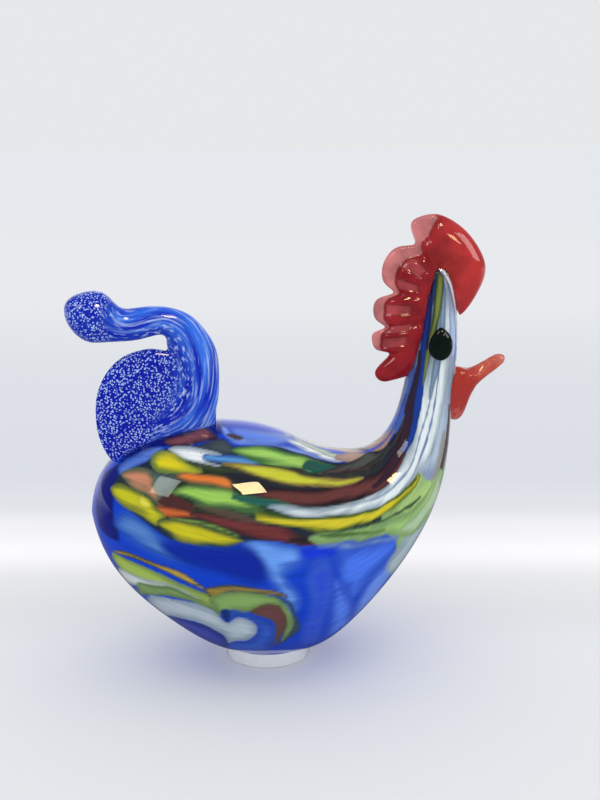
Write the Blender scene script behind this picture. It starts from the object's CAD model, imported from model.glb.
import math

import bmesh
import bpy
import numpy as np
from mathutils import Matrix, Vector
from mathutils.bvhtree import BVHTree


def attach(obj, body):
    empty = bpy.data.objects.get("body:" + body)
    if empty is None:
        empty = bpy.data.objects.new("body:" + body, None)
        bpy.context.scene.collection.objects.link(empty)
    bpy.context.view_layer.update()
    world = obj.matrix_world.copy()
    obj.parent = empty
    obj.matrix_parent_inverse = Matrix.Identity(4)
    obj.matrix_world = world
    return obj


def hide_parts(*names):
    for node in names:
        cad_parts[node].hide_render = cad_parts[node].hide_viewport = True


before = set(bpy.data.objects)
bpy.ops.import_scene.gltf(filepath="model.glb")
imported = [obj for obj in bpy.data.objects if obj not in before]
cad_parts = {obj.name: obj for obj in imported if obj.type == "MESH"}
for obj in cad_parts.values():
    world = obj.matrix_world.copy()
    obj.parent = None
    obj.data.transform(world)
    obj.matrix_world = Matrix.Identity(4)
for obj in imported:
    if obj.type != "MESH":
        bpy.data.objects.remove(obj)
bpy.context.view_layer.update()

# Where the bird is seen from.
# The camera stands a little behind the bird's right side and above it, close
# enough that the pad is looked down on more steeply than the comb.
PHOTO_WIDTH = 600
PHOTO_HEIGHT = 800
FOCAL_PIXELS = 1154
VIEW_AZIMUTH = math.radians(-12)
VIEW_ELEVATION = math.radians(13)
STANCE = Vector((-0.10227, -0.56365, 0.26973))

look_back = Vector((
    math.sin(VIEW_AZIMUTH) * math.cos(VIEW_ELEVATION),
    -math.cos(VIEW_AZIMUTH) * math.cos(VIEW_ELEVATION),
    math.sin(VIEW_ELEVATION)))
look_right = Vector((math.cos(VIEW_AZIMUTH), math.sin(VIEW_AZIMUTH), 0))
look_up = look_back.cross(look_right)

eye_point = bpy.data.cameras.new("photo_view")
eye_point.sensor_fit = "VERTICAL"
eye_point.sensor_height = 36
eye_point.lens = FOCAL_PIXELS * eye_point.sensor_height / PHOTO_HEIGHT
eye_point.clip_start = 0.01
camera = bpy.data.objects.new("photo_view", eye_point)
bpy.context.scene.collection.objects.link(camera)
camera.matrix_world = Matrix.Translation(STANCE) @ Matrix(
    (look_right, look_up, look_back)).transposed().to_4x4()
bpy.context.scene.camera = camera
bpy.context.scene.view_settings.view_transform = "Standard"


def sight_line(x, y):
    """The direction in which a pixel of the photograph is seen."""
    across = (x - PHOTO_WIDTH / 2) / FOCAL_PIXELS
    down = (y - PHOTO_HEIGHT / 2) / FOCAL_PIXELS
    return (look_right * across - look_up * down - look_back).normalized()


# The blown body: a bubble of colour under clear glass.
# The glassblower rolled a cobalt and opal bubble over bits of coloured cane,
# dipped it in clear glass, blew it out, and pulled the neck from one end.
BODY_LENGTH = 0.190
BODY_WIDTH = 0.109
HEAD_HEIGHT = 0.206
CASING_WALL = 0.004
GLASS_IOR = 1.5
# Each row is a cross-section: its upper or rear edge along and up, its lower
# or front edge along and up, and its depth.
BODY_SHARES = (
    (-0.462, 0.461, -0.464, 0.369, 0.202),
    (-0.430, 0.519, -0.435, 0.296, 0.468),
    (-0.363, 0.573, -0.365, 0.204, 0.706),
    (-0.282, 0.604, -0.265, 0.119, 0.872),
    (-0.179, 0.619, -0.153, 0.049, 0.972),
    (-0.063, 0.614, -0.016, 0.015, 1.000),
    (0.047, 0.585, 0.129, 0.029, 0.927),
    (0.137, 0.546, 0.229, 0.090, 0.807),
    (0.216, 0.527, 0.318, 0.170, 0.679),
    (0.282, 0.529, 0.400, 0.262, 0.541),
    (0.331, 0.558, 0.463, 0.359, 0.422),
    (0.361, 0.604, 0.498, 0.451, 0.330),
    (0.379, 0.658, 0.513, 0.544, 0.275),
    (0.392, 0.716, 0.521, 0.646, 0.244),
    (0.408, 0.791, 0.529, 0.757, 0.220),
    (0.424, 0.874, 0.528, 0.854, 0.189),
    (0.435, 0.932, 0.519, 0.922, 0.152),
    (0.445, 0.971, 0.505, 0.967, 0.110),
    (0.457, 0.992, 0.491, 0.991, 0.061),
)
# Where the form closes at its rear and at the tip of the head.
BODY_END_SHARES = (-0.472, 0.410), (0.474, 1.000)
CORE_ROWS = 330
CORE_COLUMNS = 300
CASING_ROWS = 240
CASING_COLUMNS = 160


def through(rows, places, fine):
    """A smooth curve through rows of numbers, read at other places along it."""
    rows, places, fine = (np.asarray(given, float) for given in (rows, places, fine))
    gaps = np.diff(places)
    rise = np.diff(rows, axis=0) / gaps[:, None]
    count = len(places)
    system = np.zeros((count, count))
    wanted = np.zeros_like(rows)
    # Each end has the slope of a cubic through the rows nearest to it.
    reach = min(4, count)
    first = np.polyfit(places[:reach] - places[0], rows[:reach], reach - 1)[-2]
    last = np.polyfit(places[-reach:] - places[-1], rows[-reach:], reach - 1)[-2]
    system[0, 0] = system[-1, -1] = 1
    wanted[0], wanted[-1] = first, last
    for k in range(1, count - 1):
        system[k, k - 1] = 1 / gaps[k - 1]
        system[k, k] = 2 / gaps[k - 1] + 2 / gaps[k]
        system[k, k + 1] = 1 / gaps[k]
        wanted[k] = 3 * rise[k - 1] / gaps[k - 1] + 3 * rise[k] / gaps[k]
    slopes = np.linalg.solve(system, wanted)
    span = np.clip(np.searchsorted(places, fine, side="right") - 1, 0, count - 2)
    t = ((fine - places[span]) / gaps[span])[:, None]
    size = gaps[span][:, None]
    return (
        rows[span] * (1 + 2 * t) * (1 - t) ** 2
        + slopes[span] * size * t * (1 - t) ** 2
        + rows[span + 1] * t * t * (3 - 2 * t)
        + slopes[span + 1] * size * t * t * (t - 1))


def sections_of(shares, end_shares, origin, size, half):
    """Centre, half chord and half depth of each cross-section, ends included."""
    origin, size = np.array(origin), np.array(size)
    start, end = (origin + np.array(one) * size for one in end_shares)
    made = [(start, np.zeros(2), 0.0)]
    for first_x, first_z, second_x, second_z, depth in shares:
        first = origin + np.array((first_x, first_z)) * size
        second = origin + np.array((second_x, second_z)) * size
        made.append(((first + second) / 2, (first - second) / 2, depth * half))
    made.append((end, np.zeros(2), 0.0))
    return made


def lengths_along(points):
    """How far along a line each of its points lies."""
    return np.concatenate([[0], np.cumsum(np.hypot(*np.diff(points, axis=0).T))])


def ways_along(points):
    """The direction of a line at each of its points."""
    ways = np.gradient(points, axis=0)
    return ways / np.linalg.norm(ways, axis=1)[:, None]


def distances(sections):
    """How far along the form each section lies, measured on its skin."""
    places = [0.0]
    for old, new in zip(sections, sections[1:]):
        shift = new[0] - old[0]
        steps = (
            np.hypot(*(shift + new[1] - old[1])),
            np.hypot(*(shift - new[1] + old[1])),
            math.hypot(*shift, new[2] - old[2]))
        places.append(places[-1] + sum(steps) / len(steps))
    return places


def inset(sections, wall):
    """The same form, one wall thickness further in all round, without what closes up."""
    girths = [(np.hypot(*one[1]) + one[2]) / 2 for one in sections]
    last = len(sections) - 1
    made = []
    for k, (centre, half, depth) in enumerate(sections):
        ahead, behind = min(k + 1, last), max(k - 1, 0)
        along = sections[ahead][0] - sections[behind][0]
        length = np.hypot(*along)
        growth = girths[ahead] - girths[behind]
        lean = growth / math.hypot(growth, length)
        if k in (0, last):
            made.append((centre + along / length * (wall if k == 0 else -wall), half, depth))
            continue
        cut = wall * math.sqrt(1 - lean * lean)
        size = np.hypot(*half)
        if min(size, depth) > cut + wall / 4:
            made.append((centre + along / length * (wall * lean), half * (size - cut) / size, depth - cut))
    return made


def skin_grid(sections, rows, columns, profile=None):
    """Points of a closed form, pole to pole, in rows round its girth."""
    places = distances(sections)
    table = [(*centre, *half, depth) for centre, half, depth in sections]
    fine = np.linspace(0, places[-1], rows)
    read = through(table, places, fine)
    turn = np.linspace(0, 2 * np.pi, columns, endpoint=False)
    across = np.broadcast_to(np.cos(turn), (rows, columns))
    deep = np.broadcast_to(np.sin(turn), (rows, columns))
    if profile is not None:
        across, deep = profile(fine / places[-1], turn)
    grid = np.empty((rows, columns, 3))
    grid[..., 0] = read[:, None, 0] + read[:, None, 2] * across
    grid[..., 2] = read[:, None, 1] + read[:, None, 3] * across
    grid[..., 1] = np.maximum(read[:, None, 4], 0) * deep
    grid[0] = grid[0].mean(0)
    grid[-1] = grid[-1].mean(0)
    return grid, fine


def closed_mesh(name, grid):
    """A closed mesh from rows of points, its first and last rows drawn to one."""
    rows, columns = grid.shape[:2]
    points = np.vstack([grid[0, :1], grid[1:-1].reshape(-1, 3), grid[-1, :1]])
    index = np.arange((rows - 2) * columns).reshape(rows - 2, columns) + 1
    beside = np.roll(index, -1, axis=1)
    quads = np.stack([index[:-1], index[1:], beside[1:], beside[:-1]], -1).reshape(-1, 4)
    starts = np.stack([np.zeros(columns, int), index[0], beside[0]], -1)
    ends = np.stack([index[-1], np.full(columns, len(points) - 1), beside[-1]], -1)
    corners = np.concatenate([starts.ravel(), quads.ravel(), ends.ravel()])
    volume = np.einsum("ij,ij->", points[quads[:, 0]], np.cross(points[quads[:, 1]], points[quads[:, 2]]))
    sizes = np.concatenate([np.full(columns, 3), np.full(len(quads), 4), np.full(columns, 3)])
    faces = np.split(corners, np.cumsum(sizes)[:-1])
    if volume < 0:
        faces = [face[::-1] for face in faces]
    mesh = bpy.data.meshes.new(name)
    mesh.from_pydata(points.tolist(), [], [face.tolist() for face in faces])
    mesh.shade_smooth()
    piece = bpy.data.objects.new(name, mesh)
    bpy.context.scene.collection.objects.link(piece)
    return piece


def row_values(grid_values):
    """Values held per grid point, in the order of a closed mesh's points."""
    first = grid_values[0].mean(0, keepdims=True)
    last = grid_values[-1].mean(0, keepdims=True)
    return np.concatenate([first, grid_values[1:-1].reshape(-1, *grid_values.shape[2:]), last])


body_size = np.array((BODY_LENGTH, HEAD_HEIGHT))
body_form = sections_of(BODY_SHARES, BODY_END_SHARES, (0, 0), body_size, BODY_WIDTH / 2)
casing_grid, _ = skin_grid(body_form, CASING_ROWS, CASING_COLUMNS)
core_grid, core_places = skin_grid(inset(body_form, CASING_WALL), CORE_ROWS, CORE_COLUMNS)
casing = closed_mesh("clear_gather", casing_grid)
core = closed_mesh("colour_bubble", core_grid)

# Colour of the bubble, laid on in the order in which the cane bits overlap.
# Each streak is drawn over the photograph's pixels, either as an outline or
# as a line of points with half widths, then carried back through the clear
# glass to the bubble under it. The far flank has the same streaks, shifted.
BASE_BLUE = "0840c8"
NECK_BLUE = "4c6cb4"
PALE_FRONT = "bccad6"
# The neck turns pale between two heights, the nape a little further up, and
# the front turns pale within two shares of the half girth.
PALE_FROM = 0.085, 0.110
NAPE_RISE = 0.03
PALE_FRONT_SIDE = 0.42, 0.26
# After its pixels, a streak has the tone of its middle, the tone of its edge,
# and the millimetres in which the edge fades.
STREAKS = (
    # Soft clouds of cobalt, grey-blue and periwinkle.
    (((96, 505), (103, 475), (116, 455), (135, 446), (165, 434), (205, 424), (225, 424), (222, 432),
      (180, 441), (150, 455), (132, 468), (120, 486), (113, 510), (119, 540), (105, 534)),
      "000e78", "00147c", 3.0),
    (((118, 470), (135, 455), (165, 448), (160, 462), (140, 468), (125, 480)), "577ed6", "3864cd", 2.0),
    (((222, 421), (250, 420), (285, 429), (318, 443), (347, 450), (345, 464), (318, 456), (285, 446),
      (250, 444), (228, 440)), "82a1f3", "5777e4", 2.0),
    (((232, 430), (262, 431), (290, 438), (280, 444), (250, 442)), "648bf1", "7c9cf3", 6.0),
    (((125, 512), (150, 526), (172, 545), (200, 560), (180, 562), (150, 552), (128, 538), (115, 522)),
      "5785ca", "3267cd", 7.0),
    (((168, 542), (200, 546), (240, 545), (258, 556), (268, 572), (240, 572), (205, 566), (180, 556)),
      "0b40c6", "1147ca", 6.0),
    (((242, 541), (262, 538), (300, 546), (322, 548), (310, 560), (285, 575), (300, 600), (290, 612),
      (278, 590), (262, 570)), "6ca1f3", "4b7ee8", 6.0),
    (((300, 545), (335, 546), (345, 552), (330, 566), (312, 568), (300, 560)), "0e38da", "2050df", 7.0),
    (((340, 548), (375, 541), (400, 534), (395, 552), (375, 575), (350, 600), (340, 580)),
      "4b7af3", "3864e6", 7.0),
    (((308, 575), (326, 560), (332, 590), (322, 625), (312, 650), (302, 640), (312, 605)),
      "2c4fd6", "3f69e8", 7.0),
    (((335, 580), (352, 600), (345, 630), (325, 650), (330, 615)), "5782f3", "3f69e8", 7.0),
    (((375, 575), (395, 555), (412, 540), (398, 565), (372, 600), (350, 625), (358, 602)),
      "6f95f3", "507aed", 6.0),
    (((160, 543), (200, 546), (245, 546), (262, 558), (266, 578), (245, 580), (205, 570), (175, 558)),
      "0226a0", "0430b0", 6.0),
    # Dark glass that shows between the streaks, and pale glass up the breast.
    (((112, 492), (122, 474), (138, 466), (152, 456), (168, 448), (190, 445), (225, 446), (262, 445),
      (300, 453), (345, 463), (372, 456), (392, 440), (402, 415), (408, 392), (418, 392), (414, 430),
      (410, 460), (398, 490), (385, 515), (372, 536), (345, 541), (318, 543), (290, 538), (240, 543),
      (200, 544), (168, 538), (140, 518), (120, 503)), "2c3222", "223048", 2.0),
    (((400, 490), (414, 470), (428, 448), (447, 436), (446, 470), (440, 500), (428, 528), (408, 556),
      (396, 560), (396, 541), (384, 530), (384, 512)), "b0d080", "9cc07c", 2.0),
    (((424, 500), (440, 496), (430, 530), (408, 560), (392, 574), (386, 570), (400, 545), (408, 528)),
      "b4c6cc", "a4bcc8", 4.0),
    (((430, 262), (456, 262), (458, 320), (455, 360), (451, 400), (449, 430), (446, 462), (438, 476),
      (426, 480), (420, 450), (424, 400), (428, 350), (430, 300)), "b9c8da", "a0b4d0", 1.0),
    (((440, 267, 5), (434, 285, 5), (429, 305, 4)), "2b4a9a", "22407c", 0.8),
    (((425, 275, 2.5), (420, 310, 2.5), (415, 345, 2.5), (409, 380, 2.5), (402, 408, 2.5), (390, 430, 2)),
      "8ea0c4", "5a70a8", 0.6),
    # Upper flank: brown, grey and white under the tail, then lime and white.
    (((185, 447), (205, 443), (222, 439), (233, 446), (236, 453), (225, 456), (208, 450)),
      "454f56", "33405a", 0.7),
    (((163, 441), (175, 436), (190, 430), (205, 428), (214, 433), (219, 438), (208, 442), (195, 444),
      (180, 447), (168, 446)), "854a44", "3a2630", 0.6),
    (((168, 449), (182, 446), (205, 449), (222, 455), (214, 459), (206, 461), (222, 466), (208, 466),
      (190, 462), (178, 456)), "f2f6f4", "b4c2cc", 0.5),
    (((203, 457, 3), (225, 459, 4), (250, 461, 3), (264, 463, 1)), "5c9ad6", "2f62b4", 0.6),
    (((226, 434), (235, 434), (244, 439), (239, 441), (230, 438)), "4c3c3c", "50505c", 0.5),
    (((231, 450), (245, 446), (262, 445), (280, 450), (300, 455), (318, 461), (338, 468), (318, 471),
      (300, 469), (280, 466), (262, 463), (245, 458)), "a2d266", "4c7e48", 0.7),
    (((305, 461), (320, 462), (342, 469), (325, 472), (303, 470)), "1c5850", "2c6a4c", 1.0),
    (((286, 439), (300, 441), (320, 448), (335, 454), (345, 461), (330, 461), (315, 455), (300, 449)),
      "f6f8f8", "a8b8e0", 0.6),
    (((285, 435, 1), (305, 440, 1.5), (330, 449, 3), (350, 452, 3), (372, 449, 2), (384, 440, 1)),
      "bccbab", "9aa8b0", 0.7),
    (((335, 457, 2), (352, 458, 5), (372, 455, 4), (385, 444, 3), (395, 426, 2), (400, 408, 2)),
      "b4917f", "a88c88", 0.8),
    # The dark band that sweeps up the nape, with grey and brown inside it.
    (((318, 474, 1), (345, 469, 5), (366, 461, 7), (385, 447, 9), (397, 430, 7), (405, 410, 4),
      (412, 385, 2)), "50524e", "2c2430", 0.9),
    (((222, 470, 3), (242, 478, 5), (265, 485, 5), (290, 489, 4), (320, 489, 2)), "22232e", "30303c", 0.7),
    (((255, 492, 3), (280, 496, 8), (310, 498, 8), (340, 494, 9), (365, 488, 9), (385, 477, 9),
      (399, 460, 8), (408, 436, 7), (412, 410, 5), (417, 380, 3), (420, 350, 1)), "6c3a38", "2a1c26", 0.7),
    (((372, 487, 2), (390, 470, 4), (402, 448, 5), (408, 425, 5), (411, 400, 3)), "3a2432", "3a2432", 1.4),
    (((260, 465, 1), (290, 471, 1.5), (320, 476, 2), (350, 474, 2), (372, 464, 2), (388, 448, 2)),
      "2f3330", "3c4038", 0.5),
    # Yellow, orange and green bits along the shoulder.
    (((151, 457), (158, 452), (168, 452), (178, 456), (190, 463), (203, 471), (196, 474), (182, 474),
      (168, 474), (159, 473), (153, 468)), "e2d222", "7c9640", 0.8),
    (((186, 462, 1), (205, 467, 2.5), (225, 470, 2), (245, 471, 1)), "3a4830", "3a4830", 0.6),
    (((222, 464, 1), (242, 466, 4), (262, 471, 6), (290, 477, 6), (320, 482, 5), (345, 482, 4),
      (364, 478, 1)), "cfd03c", "9c8648", 0.6),
    (((175, 477), (182, 473), (200, 474), (222, 476), (231, 481), (233, 489), (215, 487), (195, 485),
      (182, 481)), "ea7e38", "8a6a48", 0.5),
    (((165, 495), (180, 487), (200, 486), (228, 489), (238, 494), (252, 504), (265, 512), (245, 513),
      (225, 509), (208, 509), (192, 501), (178, 497)), "9ecd5c", "4f7c48", 0.8),
    (((232, 496, 3), (250, 500, 4), (272, 504, 5), (296, 508, 2)), "1d5c56", "3f7a5c", 0.9),
    (((194, 505, 1), (220, 512, 3), (245, 518, 4), (268, 525, 3)), "5a443e", "5c5c44", 1.2),
    (((150, 470), (160, 474), (172, 475), (178, 482), (168, 491), (160, 501), (153, 487)),
      "5c6e66", "4a5c5c", 0.7),
    (((121, 475), (128, 470), (140, 468), (150, 471), (154, 480), (157, 490), (162, 506), (153, 500),
      (147, 494), (138, 491), (128, 484)), "d08a6a", "6a7458", 0.7),
    (((158, 500), (168, 494), (182, 500), (195, 508), (185, 511), (168, 508)), "4c2a2e", "5c3430", 0.8),
    (((150, 508), (160, 505), (176, 508), (195, 513), (208, 518), (190, 517), (168, 517), (155, 514)),
      "cf6c38", "9a4a30", 0.8),
    (((190, 513, 2), (212, 519, 4), (240, 527, 6), (265, 532, 7), (290, 537, 6), (316, 541, 4),
      (340, 544, 1)), "703434", "4c2a34", 0.6),
    (((288, 537, 1), (305, 538, 4), (322, 536, 3), (335, 533, 1)), "241c28", "38302c", 1.0),
    (((111, 488), (118, 484), (130, 487), (142, 493), (150, 498), (158, 508), (166, 518), (158, 526),
      (145, 518), (130, 510), (118, 502), (113, 496)), "c9c524", "75823a", 0.7),
    (((140, 496), (148, 499), (152, 508), (146, 510), (138, 503)), "e2da50", "d0ca38", 1.2),
    (((157, 522), (170, 519), (190, 522), (210, 527), (230, 533), (245, 541), (234, 545), (214, 546),
      (195, 545), (178, 541), (167, 533)), "d0c524", "35563c", 1.0),
    (((170, 519, 1), (200, 523, 1.5), (225, 530, 1.5), (240, 536, 1)), "7a9a48", "5c7c40", 0.7),
    # The white stream, its pencil lines, and yellow and green below it.
    (((268, 507, 1), (290, 510, 5), (315, 512, 5), (345, 510, 6), (370, 503, 7), (392, 492, 9),
      (409, 474, 11), (421, 450, 12), (429, 420, 12), (435, 390, 12), (443, 350, 9), (449, 310, 6),
      (450, 285, 3)), "ebf4f4", "a9bcc8", 0.7),
    (((255, 516, 3), (280, 520, 5), (310, 524, 6), (340, 523, 7), (370, 516, 6), (395, 503, 5),
      (411, 489, 4), (421, 476, 2)), "dacb32", "74862c", 0.6),
    (((258, 512, 1), (290, 516, 1.5), (320, 518, 1.5), (345, 517, 1.2), (375, 509, 1), (400, 496, 1),
      (418, 480, 1)), "2c4820", "3c5830", 0.4),
    (((332, 508, 0.6), (370, 500, 0.8), (395, 485, 0.9), (410, 465, 1), (420, 440, 1), (428, 412, 0.8),
      (432, 385, 0.6)), "8698bc", "9aa8c4", 0.5),
    (((400, 492, 0.6), (416, 472, 0.9), (426, 446, 1), (433, 415, 0.8), (438, 380, 0.7), (445, 330, 0.6)),
      "6f84b4", "8a9cc0", 0.5),
    (((308, 536), (330, 531), (350, 531), (375, 525), (400, 515), (420, 500), (435, 480), (446, 462),
      (444, 485), (434, 508), (422, 525), (406, 538), (395, 534), (375, 537), (350, 542), (335, 545),
      (322, 545), (313, 541)), "a6d07c", "90b474", 1.5),
    (((400, 530), (418, 512), (432, 492), (440, 475), (438, 495), (424, 520), (410, 534)),
      "b8d2a8", "a4c490", 1.5),
    (((318, 533, 1), (338, 536, 2.5), (360, 535, 1.5), (385, 530, 0.8)), "4a6a34", "6a8c4c", 0.8),
    (((322, 529, 1), (345, 531, 1.2), (375, 525, 1), (402, 512, 1), (420, 496, 0.8)),
      "2f4a38", "4a6c44", 0.5),
    (((318, 546, 2), (345, 546, 2), (375, 541, 2), (398, 537, 2)), "7f9fd0", "6c8cd4", 2.5),
    (((444, 430, 1), (442, 450, 3), (438, 468, 3), (431, 482, 1)), "9a9a96", "b0b4b0", 1.0),
    # The neck's long stripes.
    (((424, 275, 2), (422, 300, 4), (419, 330, 5), (416, 360, 5), (409, 395, 4), (402, 415, 2.5),
      (396, 432, 1.5)), "4464b8", "5070c0", 0.6),
    (((429, 278, 2), (428, 305, 3), (426, 335, 4), (423, 362, 4), (420, 390, 4), (417, 415, 4),
      (412, 436, 3), (403, 452, 2)), "1b3e9a", "20449c", 0.6),
    (((421, 350, 0.8), (418, 372, 2.5), (412, 395, 4), (408, 415, 5)), "352230", "30304c", 0.8),
    (((444, 290, 1.5), (443, 320, 3), (440, 350, 3.5), (434, 378, 3), (430, 400, 1)),
      "8296ae", "6c84a0", 0.8),
    (((440, 264, 3), (440, 280, 4), (438.5, 300, 4.4), (434.5, 325, 3.8), (430.5, 342, 3), (427, 362, 2),
      (423, 385, 0.8)), "7e8c40", "3a4c34", 0.9),
    (((430, 268, 1.5), (432, 290, 1), (430, 320, 1), (427, 350, 1)), "18265c", "24346c", 0.5),
    (((449, 272, 3), (452, 300, 3.5), (453, 330, 3.5), (452, 358, 3)), "b6cae8", "a6bce0", 0.7),
    (((452, 282, 0.8), (455, 305, 1), (456, 335, 1), (455, 360, 0.7)), "5878ca", "7c98d4", 0.4),
    (((449, 404, 0.8), (448, 430, 1.2), (445, 452, 1.5), (441, 470, 1.5)), "4a3430", "6a5450", 0.4),
    # The low scroll on the flank: green, white and brown folded over blue.
    (((112, 553), (125, 558), (150, 569), (175, 581), (200, 591), (218, 601), (224, 614), (214, 609),
      (198, 600), (178, 592), (158, 587), (140, 581), (126, 573), (115, 562)), "a6c058", "8ca858", 0.5),
    (((118, 568), (130, 573), (150, 579), (175, 586), (202, 600), (188, 597), (160, 588), (140, 586),
      (127, 582)), "dae0e0", "b4c4b8", 0.5),
    (((137, 583), (150, 585), (165, 585), (185, 592), (205, 602), (222, 616), (211, 612), (195, 603),
      (175, 597), (155, 595), (140, 593)), "7d9c60", "6c8c58", 0.5),
    (((113, 550, 0.8), (130, 555, 1.8), (150, 562, 2.2), (170, 570, 3), (186, 578, 3.5), (199, 586, 2),
      (206, 591, 0.8)), "bfa244", "4a4a38", 0.5),
    (((205, 590), (216, 586), (235, 584), (255, 586), (275, 590), (289, 598), (275, 597), (258, 594),
      (240, 593), (225, 594), (215, 599), (208, 595)), "98803e", "3c4c48", 0.5),
    (((268, 597), (285, 600), (294, 607), (298, 617), (301, 627), (290, 638), (276, 646), (285, 634),
      (293, 622), (291, 610), (283, 603)), "3a4a5c", "33507c", 0.6),
    (((209, 599), (222, 594), (245, 592), (262, 595), (278, 600), (289, 609), (294, 620), (290, 632),
      (282, 641), (286, 626), (282, 614), (268, 608), (250, 611), (235, 612), (221, 614), (214, 607)),
      "86aa62", "7a9c5c", 0.4),
    (((250, 611), (262, 606), (278, 606), (286, 613), (287, 625), (282, 636), (274, 645), (270, 648),
      (274, 638), (276, 628), (272, 620), (262, 616)), "6c4244", "68543c", 0.5),
    (((222, 612), (230, 609), (245, 612), (258, 617), (270, 622), (276, 630), (275, 640), (268, 650),
      (245, 656), (228, 652), (224, 645), (240, 642), (252, 638), (258, 630), (255, 623), (247, 617),
      (238, 616), (229, 621), (224, 618)), "3560cc", "2f56c0", 0.5),
    (((148, 597), (165, 597), (185, 601), (205, 607), (219, 616), (228, 623), (234, 619), (242, 617),
      (252, 621), (257, 628), (255, 635), (247, 640), (236, 641), (227, 643), (225, 636), (212, 628),
      (195, 621), (175, 617), (158, 612)), "bcc9d1", "a8bacb", 0.4),
    (((221, 611), (227, 609), (231, 614), (228, 622), (223, 618)), "0f2f78", "1c3f90", 0.5),
    (((165, 616), (180, 618), (200, 623), (215, 629), (226, 638), (228, 648), (220, 651), (203, 645),
      (183, 634)), "3d4ab0", "2f3f9c", 0.5),
)


def linear(code):
    """The linear colour of an sRGB hex value."""
    parts = np.array([int(code[k:k + 2], 16) for k in (0, 2, 4)]) / 255
    return np.where(parts <= 0.04045, parts / 12.92, ((parts + 0.055) / 1.055) ** 2.4)


def ramp(low, high, value):
    """An eased step from 0 at low to 1 at high."""
    t = np.clip((value - low) / (high - low), 0, 1)
    return t * t * (3 - 2 * t)


def laid_over(under, over, cover):
    """One tone laid over another, as far as it covers it."""
    return under * (1 - cover) + over * cover


def ripple(x, y, seed):
    """Smooth random values between -1 and 1, one swing per unit each way."""
    size = 64
    table = np.random.default_rng(seed).uniform(-1, 1, (size, size))
    left, low = np.floor(x).astype(int), np.floor(y).astype(int)
    a, b = ramp(0, 1, x - left), ramp(0, 1, y - low)
    near = laid_over(table[left % size, low % size], table[(left + 1) % size, low % size], a)
    far = laid_over(table[left % size, (low + 1) % size], table[(left + 1) % size, (low + 1) % size], a)
    return laid_over(near, far, b)


def depth_inside(points, outline):
    """How far inside a closed outline each point lies, negative outside it."""
    tiny = 1e-12
    nearest = np.full(len(points), np.inf)
    crossings = np.zeros(len(points), int)
    for a, b in zip(outline, np.roll(outline, -1, axis=0)):
        run = b - a
        t = np.clip(((points - a) @ run) / max(run @ run, tiny), 0, 1)
        nearest = np.minimum(nearest, np.linalg.norm(points - a - t[:, None] * run, axis=1))
        straddles = (a[1] > points[:, 1]) != (b[1] > points[:, 1])
        meets = a[0] + (points[:, 1] - a[1]) * run[0] / (run[1] if run[1] else tiny)
        crossings += straddles & (points[:, 0] < meets)
    return np.where(crossings % 2, nearest, -nearest)


def smooth_outline(corners):
    """A rounded closed outline through a few corners."""
    lap = 3
    points_per_corner = 5
    ring = np.array(corners[-lap:] + corners + corners[:lap], float)
    steps = np.sqrt(np.hypot(*np.diff(ring, axis=0).T)) + 1e-6
    places = np.concatenate([[0], np.cumsum(steps)])
    fine = np.linspace(places[lap], places[-lap], len(corners) * points_per_corner, endpoint=False)
    return through(ring, places, fine)


def streak_outline(line):
    """The outline of a streak given as points with half widths."""
    points_per_place = 6
    thinnest = 0.2
    line = np.array(line, float)
    places = lengths_along(line[:, :2])
    fine = through(line, places, np.linspace(0, places[-1], len(line) * points_per_place))
    way = ways_along(fine[:, :2])
    side = np.stack([-way[:, 1], way[:, 0]], -1) * np.maximum(fine[:, 2:], thinnest)
    return np.vstack([fine[:, :2] + side, (fine[:, :2] - side)[::-1]])


# The bubble's skin is charted in millimetres: along it, and down each flank
# from the flank's middle line. The front line of the neck and the belly's keel
# lie at the middle column, so the columns before it are the far flank.
MILLIMETRES = 1000
half_turn = CORE_COLUMNS // 2
core_lengths = core_places * MILLIMETRES
half_girths = np.linalg.norm(np.diff(core_grid[:, :half_turn + 1], axis=1), axis=2).sum(1) * MILLIMETRES


def rays_at(piece):
    """The function that casts a ray at a piece as it is now."""
    return BVHTree.FromObject(piece, bpy.context.evaluated_depsgraph_get()).ray_cast


at_casing, at_core = rays_at(casing), rays_at(core)


def on_chart(row, column):
    """The chart place of a place on the bubble's grid."""
    down = np.minimum(column, CORE_COLUMNS - column) / half_turn
    girth = np.interp(row, np.arange(CORE_ROWS), half_girths)
    length = np.interp(row, np.arange(CORE_ROWS), core_lengths)
    return np.stack([length, (down - 0.5) * girth], -1)


def seen_on_core(x, y):
    """The chart place of the bubble seen at a photograph's pixel, through the casing."""
    way = sight_line(x, y)
    entry, normal, _, _ = at_casing(STANCE, way)
    if entry is None:
        return None
    facing = -way.dot(normal)
    bend = 1 / GLASS_IOR
    inner = way * bend + normal * (bend * facing - math.sqrt(1 - bend * bend * (1 - facing * facing)))
    place, _, face, _ = at_core(entry + inner * 1e-6, inner)
    if place is None:
        return None
    row = (face - CORE_COLUMNS) // CORE_COLUMNS + 1
    column = (face - CORE_COLUMNS) % CORE_COLUMNS
    corner = core_grid[row, column]
    along = core_grid[min(row + 1, CORE_ROWS - 1), column] - corner
    around = core_grid[row, (column + 1) % CORE_COLUMNS] - corner
    shift = np.array(place) - corner
    return on_chart(
        row + shift @ along / max(along @ along, 1e-12),
        column + shift @ around / max(around @ around, 1e-12))


# How the streaks wander: the length and width of a swing in millimetres, the
# seed of its run, and its reach. They waver across the flank, less where the
# girth is small, their edge tone frays in veins, and the far flank is shifted
# along and down.
WAVERS = (26, 4, 3, 0.9), (12, 2.5, 4, 0.3)
VEINS = (24, 3.2, 5, 1), (14, 1.9, 6, 0.6)
FAR_SHIFTS = (24, 18, 8, 20), (24, 18, 9, 7)
FULL_GIRTH = 60
FAR_BLEND = 0.18
VEIN_SHARE = 0.3
HEART_SHARE = 0.7
EDGE_SHADE = 0.75
GRID_STEPS_PER_EDGE = 1.1

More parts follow.
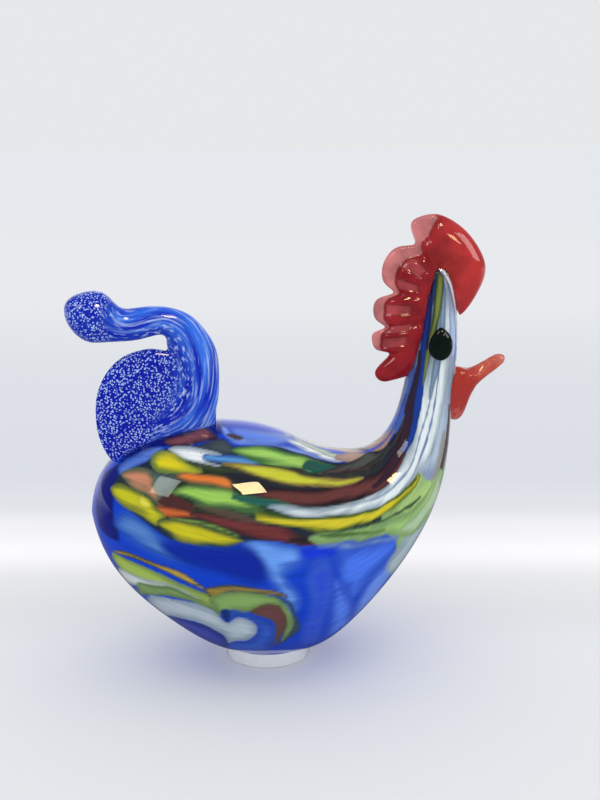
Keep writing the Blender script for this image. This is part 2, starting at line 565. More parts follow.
rows_at, columns_at = np.meshgrid(np.arange(CORE_ROWS), np.arange(CORE_COLUMNS), indexing="ij")
chart = on_chart(rows_at, columns_at)


def wander(*swings):
    """How far the swings carry each place of the chart."""
    return sum(
        reach * ripple(chart[..., 0] / length, chart[..., 1] / width, seed)
        for length, width, seed, reach in swings)


slender = ramp(0, FULL_GIRTH, half_girths)[:, None]
drawn = chart.reshape(-1, 2).copy()
drawn[:, 1] += (wander(*WAVERS) * slender).ravel()
veins = wander(*VEINS).ravel()
share = columns_at * 2 / CORE_COLUMNS
far = ramp(0, FAR_BLEND, share) * ramp(1, 1 - FAR_BLEND, share)
for side, swing in enumerate(FAR_SHIFTS):
    drawn[:, side] += (far * wander(swing)).ravel()

neck_half = rows_at[:, :1] > CORE_ROWS / 2
nape = ramp(*PALE_FROM, core_grid[:, :1, 2] - NAPE_RISE) * neck_half
front = ramp(*PALE_FROM, core_grid[:, half_turn, 2])[:, None] * neck_half
front = front * ramp(*PALE_FRONT_SIDE, np.abs(share - 1))
colours = laid_over(linear(BASE_BLUE), linear(NECK_BLUE), nape[..., None])
colours = laid_over(colours, linear(PALE_FRONT), front[..., None]).reshape(-1, 3)
spacing = np.repeat(half_girths / half_turn * GRID_STEPS_PER_EDGE, CORE_COLUMNS)
for pixels, middle, edge, softness in STREAKS:
    outline = smooth_outline(pixels) if len(pixels[0]) == 2 else streak_outline(pixels)
    carried = np.array([place for place in (seen_on_core(x, y) for x, y in outline) if place is not None])
    close = np.all((drawn > carried.min(0) - softness) & (drawn < carried.max(0) + softness), axis=1)
    depth = depth_inside(drawn[close], carried)
    blur = np.maximum(softness, spacing[close])
    cover = ramp(-blur / 2, blur / 2, depth)[:, None]
    reach = max(depth.max() * HEART_SHARE, softness)
    heart = ramp(0, reach, depth + veins[close] * reach * VEIN_SHARE)[:, None]
    shade = laid_over(linear(edge) * EDGE_SHADE, linear(middle), heart)
    colours[close] = laid_over(colours[close], shade, cover)


def paint(piece, name, tones):
    """Lays a tone on each point of a mesh, under the name that its material reads."""
    laid = piece.data.color_attributes.new(name, "FLOAT_COLOR", "POINT")
    opaque = np.concatenate([tones, np.ones((*tones.shape[:2], 1))], -1)
    laid.data.foreach_set("color", row_values(opaque).ravel())


def hold(piece, name, kind, values):
    """Keeps a value or a vector for each point of a mesh, under the name that nodes read."""
    held = piece.data.attributes.new(name, kind, "POINT")
    held.data.foreach_set("vector" if kind == "FLOAT_VECTOR" else "value", np.ravel(values))


paint(core, "cane_colour", colours.reshape(CORE_ROWS, CORE_COLUMNS, 3))
hold(core, "flow", "FLOAT_VECTOR", row_values(np.dstack([chart / MILLIMETRES, np.zeros(share.shape)])))

# The bubble's own glass shows fine threads where the cane has been drawn out.
# Under the clear gather it has no gloss of its own.
THREAD_LENGTH = 0.022
THREAD_WIDTH = 0.0011
DRIFTS_PER_METRE = 60
DRIFT_REACH = 0.004
# Levels of the noise, and how bright the glass is at each.
THREAD_SHADES = 0.3, 0.7, 0.86, 1.14


def add(tree, kind, settings=(), links=()):
    """Adds a node: settings give its properties and sockets values, links give sockets a source.

    A source is a socket of a node, or the node itself where its first socket is meant.
    """
    made = tree.nodes.new(kind)
    for key, value in dict(settings).items():
        if isinstance(key, str) and hasattr(made, key):
            setattr(made, key, value)
        else:
            made.inputs[key].default_value = value
    for key, source in dict(links).items():
        if isinstance(source, bpy.types.Node):
            source = source.outputs[0]
        tree.links.new(source, made.inputs[key])
    return made


def emptied(holder):
    """The function that adds shader nodes to a material or world, emptied first."""
    holder.use_nodes = True
    holder.node_tree.nodes.clear()
    return lambda kind, *given: add(holder.node_tree, "ShaderNode" + kind, *given)


def glass_named(name):
    """A material for one kind of glass, and the function that adds its nodes."""
    made = bpy.data.materials.new(name)
    return made, emptied(made)


def surface(node, settings, links=()):
    """Ends a material with the surface of its glass."""
    node("OutputMaterial", (), {"Surface": node("BsdfPrincipled", settings, links)})


def clouds(node, pitch, detail):
    """Smooth noise through a piece, its clouds about a pitch wide."""
    place = node("TexCoord")
    return node("TexNoise", {"Scale": 1 / pitch, "Detail": detail}, {"Vector": place.outputs["Object"]})


def rolling(node, source, strength, height):
    """The slopes of a skin that rolls as its source does."""
    return node("Bump", {"Strength": strength, "Distance": height}, {"Height": source})


def mapped(node, value, low, high, at_low=0, at_high=1):
    """A value carried from one range to another and held within it."""
    return node("MapRange", {"From Min": low, "From Max": high, "To Min": at_low, "To Max": at_high},
                {"Value": value})


def scaled(node, tone, share):
    """A tone made brighter or darker."""
    return node("VectorMath", {"operation": "SCALE"}, {0: tone, "Scale": share})


def stretched(node, place, sizes):
    """A place with each of its three measures multiplied."""
    return node("VectorMath", {"operation": "MULTIPLY", 1: sizes}, {0: place})


def blend(node, share, *tones):
    """The socket that holds a mix of two tones, each a socket or a hex value."""
    settings, links = {"data_type": "RGBA"}, {0: share}
    for slot, tone in zip((6, 7), tones):
        if isinstance(tone, str):
            settings[slot] = (*linear(tone), 1)
        else:
            links[slot] = tone
    return node("Mix", settings, links).outputs[2]


def dress(piece, *materials):
    """Gives a piece its materials and no others."""
    piece.data.materials.clear()
    for material in materials:
        piece.data.materials.append(material)


streaked, node = glass_named("streaked_cane_glass")
laid = node("Attribute", {"attribute_name": "cane_colour"})
run = node("Attribute", {"attribute_name": "flow"})
drift = node("TexNoise", {"Scale": DRIFTS_PER_METRE, "Detail": 2}, {"Vector": run.outputs["Vector"]})
bent = node("VectorMath", {"operation": "MULTIPLY_ADD", 1: (DRIFT_REACH, DRIFT_REACH, 0)},
            {0: drift.outputs["Color"], 2: run.outputs["Vector"]})
threads = node("TexNoise", {"Scale": 1, "Detail": 4, "Roughness": 0.6},
               {"Vector": stretched(node, bent, (1 / THREAD_LENGTH, 1 / THREAD_WIDTH, 0))})
surface(node, {"Roughness": 0.5, "Specular IOR Level": 0},
        {"Base Color": scaled(node, laid, mapped(node, threads, *THREAD_SHADES))})
dress(core, streaked)
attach(core, "root")
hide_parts("colour_core", "yellow_canes", "orange_canes", "green_canes", "white_canes",
            "brown_canes", "swirl_canes")

# The clear gather: soda-lime glass, fire-polished, so its skin rolls a little.
CLEAR_GLASS = "f4f8fb"
WAVE_PITCH = 0.030
WAVE_HEIGHT = 0.0003
clear, node = glass_named("fire_polished_clear_glass")
surface(node,
        {"Base Color": (*linear(CLEAR_GLASS), 1), "Roughness": 0.01, "IOR": GLASS_IOR,
         "Transmission Weight": 1},
        {"Normal": rolling(node, clouds(node, WAVE_PITCH, detail=1), strength=0.2, height=WAVE_HEIGHT)})

# Seeds are small gas bubbles caught in the clear gather, most of them where
# it was worked hardest: at the head's tip, under the tail and at the foot.
# For each of these places: the seeds per square metre that it adds, and the
# distances at which they begin and are all there.
SEED_RADIUS = 0.00040
SEEDS_PER_M2 = 900
TIP_SEEDS = 500000, 0.010, 0.003
TAIL_SEEDS = 30000, 0.030, 0.012
FOOT_SEEDS = 25000, 0.012, 0.006
SMALLEST_SEED_SHARE = 0.35
TAIL_JOINT_SHARES = (-0.30, 0.56)
BED_ROWS = 120
BED_COLUMNS = 90
seeded, node = glass_named("gas_in_seed_bubbles")
surface(node, {"Roughness": 0.02, "IOR": 1 / GLASS_IOR, "Transmission Weight": 1})
bed_grid, _ = skin_grid(inset(body_form, CASING_WALL / 2), BED_ROWS, BED_COLUMNS)
bed = closed_mesh("seeds", bed_grid)
from_tip = np.linalg.norm(bed_grid - bed_grid[-1, 0], axis=2)
from_tail = np.hypot(*np.moveaxis(bed_grid[..., [0, 2]] - body_size * TAIL_JOINT_SHARES, -1, 0))
seeding = SEEDS_PER_M2 + sum(
    added * ramp(begin, full, away)
    for (added, begin, full), away in (
        (TIP_SEEDS, from_tip), (TAIL_SEEDS, from_tail), (FOOT_SEEDS, bed_grid[..., 2])))
hold(bed, "seeding", "FLOAT", row_values(seeding[..., None]))

sowing = bpy.data.node_groups.new("seed_bubbles", "GeometryNodeTree")
sowing.interface.new_socket("Skin", in_out="INPUT", socket_type="NodeSocketGeometry")
radius = sowing.interface.new_socket("Bubble radius", in_out="INPUT", socket_type="NodeSocketFloat")
sowing.interface.new_socket("Bubbles", in_out="OUTPUT", socket_type="NodeSocketGeometry")
given = add(sowing, "NodeGroupInput")
often = add(sowing, "GeometryNodeInputNamedAttribute", {"data_type": "FLOAT", "Name": "seeding"})
dropped = add(sowing, "GeometryNodeDistributePointsOnFaces", {"Seed": 7},
              {"Mesh": given.outputs["Skin"], "Density": often.outputs["Attribute"]})
round_one = add(sowing, "GeometryNodeMeshIcoSphere", {"Subdivisions": 2},
                {"Radius": given.outputs["Bubble radius"]})
varied = add(sowing, "FunctionNodeRandomValue",
             {"data_type": "FLOAT", 2: SMALLEST_SEED_SHARE, 3: 1.0, "Seed": 3})
placed = add(sowing, "GeometryNodeInstanceOnPoints", (),
             {"Points": dropped, "Instance": round_one, "Scale": varied.outputs[1]})
whole = add(sowing, "GeometryNodeRealizeInstances", (), {"Geometry": placed})
dressed = add(sowing, "GeometryNodeSetMaterial", {"Material": seeded}, {"Geometry": whole})
add(sowing, "NodeGroupOutput", (), {"Bubbles": dressed})
sower = bed.modifiers.new("seeds", "NODES")
sower.node_group = sowing
sower[radius.identifier] = SEED_RADIUS


def as_mesh(piece):
    """A plain mesh of a piece with its modifiers, which it then loses."""
    made = bpy.data.meshes.new_from_object(piece.evaluated_get(bpy.context.evaluated_depsgraph_get()))
    piece.modifiers.clear()
    return made


def fuse(piece, other):
    """Adds another mesh's faces to a piece."""
    both = bmesh.new()
    both.from_mesh(piece.data)
    both.from_mesh(other)
    both.to_mesh(piece.data)
    both.free()


bubbles = as_mesh(bed)
bpy.data.objects.remove(bed)
skin_faces = len(casing.data.polygons)
fuse(casing, bubbles)
dress(casing, clear, seeded)
which = np.zeros(len(casing.data.polygons), np.int32)
which[skin_faces:] = casing.data.materials.find(seeded.name)
casing.data.polygons.foreach_set("material_index", which)
casing.data.shade_smooth()
# Clear glass takes hardly any light away, so the casing darkens nothing under it.
casing.visible_shadow = False
casing.visible_diffuse = False
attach(casing, "root")
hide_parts("clear_casing")


# The clear foot: a hot gather set down under the belly and ground flat.
# It is a thick pad of clear glass with cords in it, so it gathers the pale
# light of the table.
FOOT_GLASS = "f6f9fb"
CORD_PITCH = 0.004
CORD_HEIGHT = 0.0012
pad, node = glass_named("ground_clear_glass")
surface(node,
        {"Base Color": (*linear(FOOT_GLASS), 1), "Roughness": 0.06, "IOR": GLASS_IOR,
         "Transmission Weight": 0.15},
        {"Normal": rolling(node, clouds(node, CORD_PITCH, detail=2), strength=0.8, height=CORD_HEIGHT)})
dress(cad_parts["clear_foot"], pad)


# The tail: a gather of cobalt glass rolled in white frit. It was pressed to a
# fan, and the rest was drawn out to a plume, which stretched the flecks to
# threads, then curled back and left to bead up in a knob.
FAN_WIDTH = 0.058
FAN_HEIGHT = 0.059
FAN_THICKNESS = 0.011
PLUME_LENGTH = 0.075
PLUME_HEIGHT = 0.080
PLUME_THICKNESS = 0.015
FAN_SHARES = (
    (-0.41, -0.10, 0.30, 0.02, 0.74),
    (-0.485, 0.00, 0.44, 0.10, 0.98),
    (-0.545, 0.17, 0.48, 0.26, 1.00),
    (-0.560, 0.36, 0.49, 0.43, 0.98),
    (-0.530, 0.54, 0.48, 0.58, 0.92),
    (-0.445, 0.70, 0.42, 0.70, 0.84),
    (-0.315, 0.815, 0.25, 0.802, 0.70),
    (-0.19, 0.862, 0.06, 0.856, 0.48),
)
PLUME_SHARES = (
    (0.96, 0.03, 0.74, 0.03, 0.62),
    (0.993, 0.15, 0.72, 0.11, 0.92),
    (1.024, 0.27, 0.73, 0.26, 1.00),
    (1.037, 0.44, 0.75, 0.43, 1.00),
    (1.022, 0.59, 0.72, 0.545, 1.00),
    (0.958, 0.715, 0.69, 0.645, 1.00),
    (0.858, 0.818, 0.684, 0.689, 1.00),
    (0.745, 0.868, 0.654, 0.706, 1.00),
    (0.622, 0.886, 0.595, 0.699, 1.00),
    (0.490, 0.878, 0.502, 0.680, 1.02),
    (0.400, 0.884, 0.402, 0.673, 1.08),
    (0.330, 0.948, 0.302, 0.672, 1.32),
    (0.250, 0.988, 0.202, 0.674, 1.52),
    (0.150, 0.980, 0.128, 0.706, 1.44),
    (0.070, 0.944, 0.068, 0.770, 1.04),
)
FAN_END_SHARES = (-0.08, -0.15), (-0.070, 0.882)
PLUME_END_SHARES = (0.85, -0.02), (0.036, 0.862)
# Where fan and plume start, as shares of the body's length and height.
FAN_ROOT_SHARES = (-0.282, 0.556)
PLUME_ROOT_SHARES = (-0.535, 0.566)
FAN_ROWS = 90
PLUME_ROWS = 180
TAIL_COLUMNS = 72
TAIL_GRAIN = 0.0007
# The line that the drawn threads follow, in pixels of the photograph: in
# under the fan, up its right side, over, back, and round the knob.
THREAD_LINE = (
    (128, 447), (150, 436), (176, 424), (194, 404), (200, 382), (200, 360), (194, 338), (182, 322),
    (165, 314), (148, 315), (130, 320), (115, 317), (106, 306), (96, 300), (86, 303), (80, 312), (84, 322),
    (93, 322))
# The flecks turn to threads along that line and towards its outer side, and
# in the knob they draw up again.
DRAWN_ALONG = 0.004, 0.030
DRAWN_ASIDE = -0.020, 0.004
KNOB_ALONG = 0.116, 0.130
KNOB_FLECK_SHARE = 0.85
LINE_PLACES = 400


def onto_middle(x, y):
    """The place in the bird's middle plane that is seen at a pixel."""
    way = sight_line(x, y)
    return STANCE + way * (-STANCE.y / way.y)


fan_form = sections_of(
    FAN_SHARES, FAN_END_SHARES, body_size * FAN_ROOT_SHARES, (FAN_WIDTH, FAN_HEIGHT), FAN_THICKNESS / 2)
plume_form = sections_of(
    PLUME_SHARES, PLUME_END_SHARES, body_size * PLUME_ROOT_SHARES, (PLUME_LENGTH, PLUME_HEIGHT),
    PLUME_THICKNESS / 2)
tail = closed_mesh("speckled_tail", skin_grid(fan_form, FAN_ROWS, TAIL_COLUMNS)[0])
plume = closed_mesh("plume", skin_grid(plume_form, PLUME_ROWS, TAIL_COLUMNS)[0])
fuse(tail, plume.data)
bpy.data.objects.remove(plume)
fused = tail.modifiers.new("fused", "REMESH")
fused.mode = "VOXEL"
fused.voxel_size = TAIL_GRAIN
fused.use_smooth_shade = True
softened = tail.modifiers.new("softened", "SMOOTH")
softened.factor = 0.5
softened.iterations = 6
tail.data = as_mesh(tail)

spots = np.empty(len(tail.data.vertices) * 3)
tail.data.vertices.foreach_get("co", spots)
spots = spots.reshape(-1, 3)
line = np.array([onto_middle(x, y)[:] for x, y in THREAD_LINE])[:, [0, 2]]
places = lengths_along(line)
line_places = np.linspace(0, places[-1], LINE_PLACES)
line = through(line, places, line_places)
ways = ways_along(line)
gaps = spots[:, None, [0, 2]] - line[None]
nearest = np.argmin((gaps ** 2).sum(-1), axis=1)
gap = gaps[np.arange(len(spots)), nearest]
aside = gap[:, 0] * ways[nearest, 1] - gap[:, 1] * ways[nearest, 0]
along = line_places[nearest]
hold(tail, "flow", "FLOAT_VECTOR", np.stack([along, aside, spots[:, 1]], -1))
drawn_share = ramp(*DRAWN_ALONG, along) * ramp(*DRAWN_ASIDE, aside)
drawn_share *= 1 - KNOB_FLECK_SHARE * ramp(*KNOB_ALONG, along)
hold(tail, "drawn_share", "FLOAT", drawn_share)

# Cobalt glass with white frit melted in: round flecks of uneven size where it
# was only pressed, pale wires and bands of thinner blue where it was drawn.
COBALT = "0216a8"
DRAWN_BLUE = "0828bc"
PALE_BLUE = "3a78ee"
FRIT_WHITE = "b4ccfa"
PATCH_PITCH = 0.004
FLECK_PITCH = 0.0011
THREAD_PITCH = 0.0013
BAND_PITCH = 0.0045
BAND_PULL = 0.12, 1, 0.5
BAND_LEVELS = 0.40, 0.62
# Levels of the patches, and how large a fleck is at each, as a share of its pitch.
FLECK_SIZES = 0.3, 0.7, 0.10, 0.36
# Two stages of drawing out: how far the glass is pulled, the levels between
# which its specks turn white, and the drawn share at which the stage begins.
STAGES = ((0.30, 1, 0.4), 0.53, 0.70, 0.15), ((0.09, 1, 0.4), 0.50, 0.78, 0.60)
STAGE_LENGTH = 0.25
speckled, node = glass_named("white_frit_on_cobalt_glass")
place = node("TexCoord")
run = node("Attribute", {"attribute_name": "flow"})
share = node("Attribute", {"attribute_name": "drawn_share"})
fleck = node("TexVoronoi", {"Scale": 1 / FLECK_PITCH}, {"Vector": place.outputs["Object"]})
size = mapped(node, clouds(node, PATCH_PITCH, detail=2), *FLECK_SIZES)
white = node("MapRange", {"From Max": 0.47, "To Min": 1, "To Max": 0}, {"Value": fleck, "From Min": size})
for pull, low, high, start in STAGES:
    specks = node("TexNoise", {"Scale": 1 / THREAD_PITCH, "Detail": 2, "Roughness": 0.5},
                  {"Vector": stretched(node, run.outputs["Vector"], pull)})
    stage = mapped(node, share.outputs["Fac"], start, start + STAGE_LENGTH)
    white = node("Mix", {"data_type": "FLOAT"}, {0: stage, 2: white, 3: mapped(node, specks, low, high)})
bands = node("TexNoise", {"Scale": 1 / BAND_PITCH, "Detail": 2},
             {"Vector": stretched(node, run.outputs["Vector"], BAND_PULL)})
drawn_blue = blend(node, mapped(node, bands, *BAND_LEVELS), DRAWN_BLUE, PALE_BLUE)
body_blue = blend(node, share.outputs["Fac"], COBALT, drawn_blue)
flecked = blend(node, white, body_blue, FRIT_WHITE)
surface(node, {"Roughness": 0.06, "IOR": GLASS_IOR}, {"Base Color": flecked})
dress(tail, speckled)
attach(tail, "root")
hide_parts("tail")


# The comb: one hot bit of selenium red laid over the head, then pinched with
# a crimper, so that thin pink lobes stand out from a thick bar on the nape.
COMB_REACH = 0.035
COMB_HEIGHT = 0.084
COMB_THICKNESS = 0.019
# From the bulb's lower end over the head and down the nape: outer edge along
# and up, inner edge along and up, depth.
COMB_SHARES = (
    (0.42, -0.310, 0.29, -0.290, 0.34),
    (0.55, -0.232, 0.22, -0.225, 0.70),
    (0.66, -0.143, 0.16, -0.155, 0.92),
    (0.71, -0.024, 0.11, -0.085, 1.00),
    (0.60, 0.083, 0.06, -0.060, 1.00),
    (0.40, 0.185, 0.02, -0.055, 0.96),
    (0.16, 0.256, -0.02, -0.055, 0.92),
    (-0.04, 0.286, -0.05, -0.060, 0.88),
    (-0.26, 0.278, -0.07, -0.068, 0.82),
    (-0.43, 0.232, -0.08, -0.080, 0.78),
    (-0.37, 0.113, -0.08, -0.100, 0.70),
    (-0.58, 0.098, -0.09, -0.120, 0.76),
    (-0.79, 0.036, -0.10, -0.140, 0.80),
    (-0.86, -0.060, -0.11, -0.165, 0.80),
    (-0.79, -0.137, -0.12, -0.190, 0.76),
    (-0.68, -0.180, -0.13, -0.210, 0.66),
    (-0.88, -0.211, -0.14, -0.240, 0.74),
    (-0.98, -0.292, -0.15, -0.290, 0.74),
    (-0.91, -0.357, -0.16, -0.330, 0.70),
    (-0.80, -0.393, -0.17, -0.360, 0.60),
    (-0.96, -0.425, -0.18, -0.400, 0.66),
    (-0.99, -0.482, -0.20, -0.450, 0.66),
    (-0.90, -0.536, -0.22, -0.500, 0.60),
    (-0.73, -0.560, -0.24, -0.530, 0.52),
    (-0.83, -0.613, -0.26, -0.560, 0.52),
    (-0.94, -0.679, -0.29, -0.610, 0.46),
    (-0.90, -0.714, -0.32, -0.655, 0.30),
)
COMB_END_SHARES = (0.35, -0.335), (-0.68, -0.717)
COMB_ROWS = 300
COMB_COLUMNS = 160
# How far in from the outer edge the thin web reaches, at each section.
WEB_SHARES = (0, 0, 0, 0, 0, 0, 0, 0.02, 0.34, 0.38, 0.28, 0.30, 0.25, 0.23, 0.20, 0.10, 0.13, 0.16, 0.11,
              0.05, 0.13, 0.13, 0.05, 0, 0, 0, 0)
WEB_THICKNESS_SHARE = 0.30
WEB_RIM_SHARE = 0.05
LEAST_WEB_SHARE = 0.01
CRIMPED_FROM_SHARES = 0.02, 0.12
BAR_ROUNDNESS = 2.4
# The heights of the crimper's pinches, as shares of the comb's height from
# the head's tip, and how far each reaches up, across the bar and into it.
PINCH_SHARES = (-0.035, -0.142, -0.282, -0.395, -0.475)
PINCH_HALF_HEIGHT_SHARE = 0.034
PINCH_STEEPNESS = 0.6
PINCH_OUTER_SHARES = 0.02, 0.08
PINCH_INNER_SHARES = 0.62, 0.5
PINCH_DEPTH_SHARE = 0.16
PINCHED_FROM_SHARE = 0.4

head_tip = body_size * BODY_END_SHARES[1]
comb_form = sections_of(
    COMB_SHARES, COMB_END_SHARES, head_tip, (COMB_REACH, COMB_HEIGHT), COMB_THICKNESS / 2)
comb_places = np.array(distances(comb_form)) / distances(comb_form)[-1]
comb_heights = (np.array([form[0][1] for form in comb_form]) - HEAD_HEIGHT) / COMB_HEIGHT


def webbed(shares):
    """How far in the thin web reaches at places along the comb."""
    return np.interp(shares, comb_places, (0, *WEB_SHARES, 0))[:, None]


def crimped(shares, turn):
    """Across and deep shares of the comb's sections, where it is pinched, and how far in the bar lies."""
    inward = (1 - np.cos(turn))[None] / 2
    web = webbed(shares)
    barred = np.clip((inward - web) / (1 - web), 0, 1)
    bar = np.maximum(1 - np.abs(1 - 2 * barred) ** BAR_ROUNDNESS, 0) ** (1 / BAR_ROUNDNESS)
    crimp = ramp(*CRIMPED_FROM_SHARES, web)
    bar = laid_over(np.abs(np.sin(turn))[None], bar, crimp)
    rims = np.clip(inward / WEB_RIM_SHARE, 0, 1) * np.clip((1 - inward) / WEB_RIM_SHARE, 0, 1)
    depth = np.maximum(bar, WEB_THICKNESS_SHARE * np.sqrt(rims) * crimp)
    height = np.interp(shares, comb_places, comb_heights)[:, None]
    dents = sum(
        ramp(PINCH_HALF_HEIGHT_SHARE, PINCH_HALF_HEIGHT_SHARE * PINCH_STEEPNESS, np.abs(height - middle))
        for middle in PINCH_SHARES)
    dents = np.clip(dents, 0, 1) * ramp(*PINCH_OUTER_SHARES, barred) * ramp(*PINCH_INNER_SHARES, barred)
    dents = dents * (web > LEAST_WEB_SHARE)
    depth = depth - PINCH_DEPTH_SHARE * dents * (depth > PINCHED_FROM_SHARE)
    return np.broadcast_to(np.cos(turn), depth.shape), depth * np.sign(np.sin(turn))[None], dents, barred


def crimped_profile(shares, turn):
    """The comb's profile alone."""
    return crimped(shares, turn)[:2]


comb_grid, comb_fine = skin_grid(comb_form, COMB_ROWS, COMB_COLUMNS, crimped_profile)
comb = closed_mesh("crimped_comb", comb_grid)

# Selenium red strikes darker where it is thick and cools slowly: deep on the
# nape, brighter in the bulb, pink in the pinches and pale in the thin web.
SELENIUM_RED = "8e1c24"
BULB_RED = "a82e2e"
THIN_PINK = "cc7e7e"
PINCHED_PINK = "a4464a"
STEP_RED = "701418"
BULB_FROM_SHARES = 0.45, 0.28
STEP_SHARE = 0.03
STEP_BLUR_SHARE = 0.05
WEBBED_FROM_SHARES = 0.02, 0.1
COMB_CLOUD_PITCH = 0.012
COMB_SHADES = 0.35, 0.65, 0.75, 1.35
DIMPLE_HEIGHT = 0.0008
comb_shares = comb_fine / comb_fine[-1]
_, _, dents, barred = crimped(comb_shares, np.linspace(0, 2 * np.pi, COMB_COLUMNS, endpoint=False))
thin = ramp(*WEBBED_FROM_SHARES, webbed(comb_shares))
web = ramp(STEP_SHARE, 0.0, barred) * thin
step = ramp(STEP_BLUR_SHARE, 0.0, np.abs(barred - STEP_SHARE)) * thin
edges = np.clip(4 * dents * (1 - dents), 0, 1)
bulb = ramp(*BULB_FROM_SHARES, comb_shares)[:, None]
shades = linear(SELENIUM_RED)
for place, strength, code in (
        (bulb, 1, BULB_RED), (dents, 0.8, PINCHED_PINK), (edges, 0.5, STEP_RED), (web, 1, THIN_PINK),
        (step, 0.6, STEP_RED)):
    shades = laid_over(shades, linear(code), place[..., None] * strength)
paint(comb, "bit_colour", shades)

red, node = glass_named("selenium_red_glass")
laid = node("Attribute", {"attribute_name": "bit_colour"})
cloud = clouds(node, COMB_CLOUD_PITCH, detail=3)
surface(node, {"Roughness": 0.05, "IOR": GLASS_IOR},
        {"Base Color": scaled(node, laid, mapped(node, cloud, *COMB_SHADES)),
         "Normal": rolling(node, cloud, strength=0.25, height=DIMPLE_HEIGHT)})
dress(comb, red)
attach(comb, "root")
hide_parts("comb")


# The beak: one bit of coral glass, let hang to a lobe and then pulled out
# with pincers to a spout that thins and lightens towards its tip.
BEAK_LENGTH = 0.0295
BEAK_HEIGHT = 0.035
BEAK_THICKNESS = 0.013
BEAK_HEIGHT_SHARE = 0.597
BEAK_SHARES = (
    (0.25, 0.065, -0.18, 0.090, 0.66),
    (0.34, 0.265, -0.22, 0.290, 0.94),
    (0.45, 0.455, -0.18, 0.560, 1.00),
    (0.53, 0.535, 0.07, 0.790, 0.90),
    (0.67, 0.630, 0.30, 0.765, 0.68),
    (0.78, 0.690, 0.50, 0.815, 0.50),
    (0.90, 0.765, 0.70, 0.900, 0.44),
    (0.99, 0.835, 0.85, 0.958, 0.38),
)
BEAK_END_SHARES = (0.10, -0.03), (1.00, 0.935)
BEAK_ROWS = 110
BEAK_COLUMNS = 72
keel = casing_grid[CASING_ROWS // 2:, CASING_COLUMNS // 2]
beak_height = BEAK_HEIGHT_SHARE * HEAD_HEIGHT
neck_front = np.interp(beak_height, keel[:, 2], keel[:, 0]), beak_height
beak_form = sections_of(
    BEAK_SHARES, BEAK_END_SHARES, neck_front, (BEAK_LENGTH, BEAK_HEIGHT), BEAK_THICKNESS / 2)
beak_grid, beak_fine = skin_grid(beak_form, BEAK_ROWS, BEAK_COLUMNS)
beak = closed_mesh("coral_beak", beak_grid)
reach = np.broadcast_to((beak_fine / beak_fine[-1])[:, None, None], (BEAK_ROWS, BEAK_COLUMNS, 1))
hold(beak, "pulled_share", "FLOAT", row_values(reach))

# Coral glass is nearly opaque. Its tone goes from the pale seam at the neck
# over the deep lobe to the pale tip, and clouds in it shift the tone about.
CORAL_TONES = (
    (0.0, "dc9890"), (0.12, "c8625a"), (0.22, "b23c38"), (0.45, "b6382f"), (0.62, "c4463c"), (0.80, "ce5e4e"),
    (1.0, "de8a78"))
TONE_DRIFT = 0.5
CORAL_CLOUD_PITCH = 0.005
PULL_MARK_HEIGHT = 0.0015


def toned(node, tones, source):
    """A colour ramp through (place, hex value) pairs."""
    made = node("ValToRGB", (), {"Fac": source})
    stops = made.color_ramp.elements
    while len(stops) < len(tones):
        stops.new(0.5)
    for stop, (spot, code) in zip(stops, tones):
        stop.position = spot
        stop.color = (*linear(code), 1)
    return made


coral, node = glass_named("coral_glass")
reach = node("Attribute", {"attribute_name": "pulled_share"})
cloud = clouds(node, CORAL_CLOUD_PITCH, detail=3)
uneven = node("Math", {"operation": "MULTIPLY_ADD", 1: TONE_DRIFT}, {0: cloud, 2: reach.outputs["Fac"]})
centred = node("Math", {"operation": "SUBTRACT", 1: TONE_DRIFT / 2}, {0: uneven})
surface(node, {"Roughness": 0.05, "IOR": GLASS_IOR, "Transmission Weight": 0.15},
        {"Base Color": toned(node, CORAL_TONES, centred),
         "Normal": rolling(node, cloud, strength=0.6, height=PULL_MARK_HEIGHT)})
dress(beak, coral)
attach(beak, "root")
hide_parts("beak")


# The eyes: drops of near-black green glass, pressed on hot and left glossy.
# The glass is so dark that only its gloss and a hint of green show.
DROP_GREEN = "020a08"
DROP_CLOUD_GREEN = "061a14"
DROP_CLOUD_PITCH = 0.005
drop, node = glass_named("near_black_green_glass")
shade = blend(node, clouds(node, DROP_CLOUD_PITCH, detail=2), DROP_GREEN, DROP_CLOUD_GREEN)
surface(node, {"Roughness": 0.03, "IOR": GLASS_IOR, "Specular IOR Level": 0.3}, {"Base Color": shade})
eyes = [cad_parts[name] for name in ("eye_right", "eye_left")]
for eye in eyes:
    dress(eye, drop)


# The pale table and the wall behind it, which meet in a soft bright line.
# Both are one matt sheet here, so that the bird can be seen from every side.
# Its tones run away from the camera's side, as shares of its reach. Mirrored
# in the glass, the near paper is dimmer, as if a dim room stood over it.
TABLE_SIZE = 40
PAPER_REACH = 4.3
PAPER_TONES = (
    (0.0, "e5e7e9"), (0.012, "e0e2e4"), (0.021, "e4e5e6"), (0.034, "f9f8f9"), (0.044, "efeff2"),
    (0.056, "dddfe4"), (0.075, "d6d9df"), (0.14, "d8dbe0"), (0.31, "e2e4e6"), (1.0, "dfe2e5"))
MIRRORED_PAPER = 0.22
MIRRORED_WITHIN = 0.1, 0.5
bpy.ops.mesh.primitive_grid_add(x_subdivisions=1, y_subdivisions=1, size=TABLE_SIZE)
table = bpy.context.object
table.name = "table"
paper = bpy.data.materials.new("matt_pale_table")
node = emptied(paper)
place = node("TexCoord")
back = node("VectorMath", {"operation": "DOT_PRODUCT", 1: (-look_back.x, -look_back.y, 0)},
            {0: place.outputs["Object"]}).outputs["Value"]
tones = toned(node, PAPER_TONES, mapped(node, back, 0, PAPER_REACH))
tones.color_ramp.interpolation = "EASE"


def mirrored_only(node, seen):
    """1 where a thing is seen mirrored, 0 where it is seen straight or through glass."""
    return node("Math", {"operation": "SUBTRACT", "use_clamp": True},
                {0: seen.outputs["Is Glossy Ray"], 1: seen.outputs["Is Transmission Ray"]})


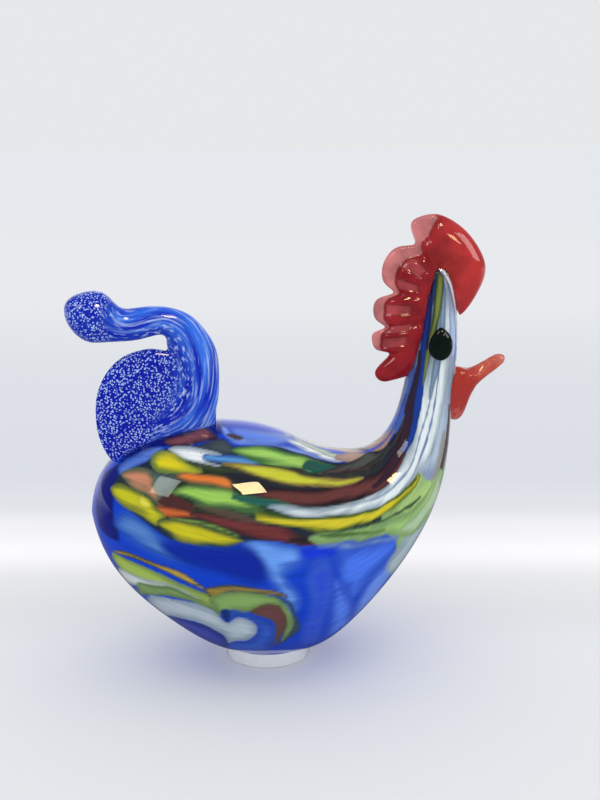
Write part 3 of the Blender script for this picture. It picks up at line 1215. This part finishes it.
near = mapped(node, back, *MIRRORED_WITHIN, MIRRORED_PAPER, 1)
dim = node("Mix", {"data_type": "FLOAT", 2: 1}, {0: mirrored_only(node, node("LightPath")), 3: near})
lit = node("BsdfDiffuse", (), {"Color": scaled(node, tones, dim)})
node("OutputMaterial", (), {"Surface": lit})
dress(table, paper)


# Soft daylight from all round, a little stronger low down. In reflections the
# room is dim, apart from a bright stretch on the far side of the bird.
SKY_TONE = "fcfcfd"
SEEN_SKY = "e6e8e9"
LOW_STRENGTH = 1.12
HIGH_STRENGTH = 1.08
ROOM_DIMNESS = 0.16
ROOM_BRIGHTNESS = 1.1
ROOM_DIMS_FROM = -0.97, -0.6
sky = bpy.data.worlds.new("daylight")
bpy.context.scene.world = sky
node = emptied(sky)
way = node("TexCoord").outputs["Generated"]
parts = node("SeparateXYZ", (), {"Vector": way})
rise = mapped(node, parts.outputs["Z"], 0, 1, LOW_STRENGTH, HIGH_STRENGTH)
seen = node("LightPath")
toward = node("VectorMath", {"operation": "DOT_PRODUCT", 1: (look_back.x, look_back.y, 0)}, {0: way})
room = mapped(node, toward.outputs["Value"], *ROOM_DIMS_FROM, ROOM_BRIGHTNESS, ROOM_DIMNESS)
lit = node("Mix", {"data_type": "FLOAT"}, {0: mirrored_only(node, seen), 2: rise, 3: room})
strength = node("Mix", {"data_type": "FLOAT", 3: 1.0}, {0: seen.outputs["Is Camera Ray"], 2: lit})
tone = blend(node, seen.outputs["Is Camera Ray"], SKY_TONE, SEEN_SKY)
node("OutputWorld", (), {"Surface": node("Background", (), {"Color": tone, "Strength": strength})})

# Four soft panels stand where they are mirrored in the glass as the windows
# are in the photograph: a warm and a pale one on the flank, and two that light
# only comb, beak and eyes. Each has the piece that mirrors it, the pixel of its
# reflection, its width and height, its watts, its tone and what it lights.
small_bits = bpy.data.collections.new("comb_beak_and_eyes")
for piece in (comb, beak, *eyes):
    small_bits.objects.link(piece)
PANELS = (
    (casing, (250, 486), 0.42, 0.30, 11, "ffe2a8", None),
    (casing, (163, 485), 0.50, 0.60, 5, "eef6f0", None),
    (comb, (453, 237), 0.30, 0.20, 2.4, "ffe0b0", small_bits),
    (comb, (470, 247), 0.90, 0.70, 9, "fff0ec", small_bits),
)
PANEL_DISTANCE = 1.6
for shiny, pixel, width, height, watts, tone, lit_bits in PANELS:
    way = sight_line(*pixel)
    spot, normal, _, _ = rays_at(shiny)(STANCE, way)
    mirrored = way - normal * (2 * way.dot(normal))
    lamp = bpy.data.lights.new("window_panel", "AREA")
    lamp.shape = "RECTANGLE"
    lamp.size, lamp.size_y = width, height
    lamp.energy = watts
    lamp.color = linear(tone)
    panel = bpy.data.objects.new("window_panel", lamp)
    bpy.context.scene.collection.objects.link(panel)
    panel.location = spot + mirrored * PANEL_DISTANCE
    panel.rotation_euler = (-mirrored).to_track_quat("-Z", "Y").to_euler()
    panel.visible_camera = False
    panel.visible_diffuse = False
    panel.light_linking.receiver_collection = lit_bits
